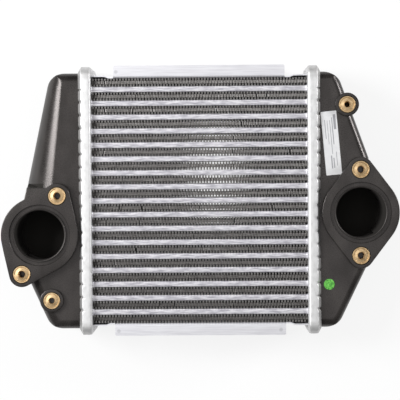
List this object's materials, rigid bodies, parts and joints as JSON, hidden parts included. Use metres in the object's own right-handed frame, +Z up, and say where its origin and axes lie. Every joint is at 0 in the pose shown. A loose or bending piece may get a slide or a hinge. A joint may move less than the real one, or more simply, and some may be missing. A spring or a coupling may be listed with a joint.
{
  "type": "intercooler",
  "caption": "Air-to-air charge cooler: tube-and-fin aluminium core between crimped header plates, with black moulded end tanks that each have a two-bolt flanged port.",
  "frame": {"origin": "middle of the core, on the plane that the header plates rest on", "axes": "+X across the core from the tank with the larger front radius to the other, +Y along the tanks, +Z up, out of both ports"},
  "size_m": [0.3986, 0.2716, 0.078],
  "materials": {
    "tubes": "mill finish with brazing haze",
    "fins": "thin mill-finish sheet",
    "turbulators": "thin mill-finish sheet",
    "side_plates": "mill finish with brazing haze",
    "header_plates": "mill finish with brazing haze",
    "gaskets": "matt moulded rubber",
    "tanks": "black glass-filled nylon, satin",
    "inserts": "turned brass",
    "label": "white printed film, left bare"
  },
  "bodies": {
    "root": {"tube_01": "tubes", "tube_02": "tubes", "tube_03": "tubes", "tube_04": "tubes", "tube_05": "tubes", "tube_06": "tubes", "tube_07": "tubes", "tube_08": "tubes", "tube_09": "tubes", "tube_10": "tubes", "tube_11": "tubes", "tube_12": "tubes", "tube_13": "tubes", "tube_14": "tubes", "tube_15": "tubes", "tube_16": "tubes", "tube_17": "tubes", "fin_strip_01": "fins", "fin_strip_02": "fins", "fin_strip_03": "fins", "fin_strip_04": "fins", "fin_strip_05": "fins", "fin_strip_06": "fins", "fin_strip_07": "fins", "fin_strip_08": "fins", "fin_strip_09": "fins", "fin_strip_10": "fins", "fin_strip_11": "fins", "fin_strip_12": "fins", "fin_strip_13": "fins", "fin_strip_14": "fins", "fin_strip_15": "fins", "fin_strip_16": "fins", "fin_strip_17": "fins", "fin_strip_18": "fins", "turbulators": "turbulators", "top_side_plate": "side_plates", "bottom_side_plate": "side_plates", "left_header_plate": "header_plates", "right_header_plate": "header_plates", "left_tank_gasket": "gaskets", "right_tank_gasket": "gaskets", "left_tank": "tanks", "right_tank": "tanks", "port_flange_inserts": "inserts", "mounting_inserts": "inserts", "label": "label"}
  },
  "joints": []
}
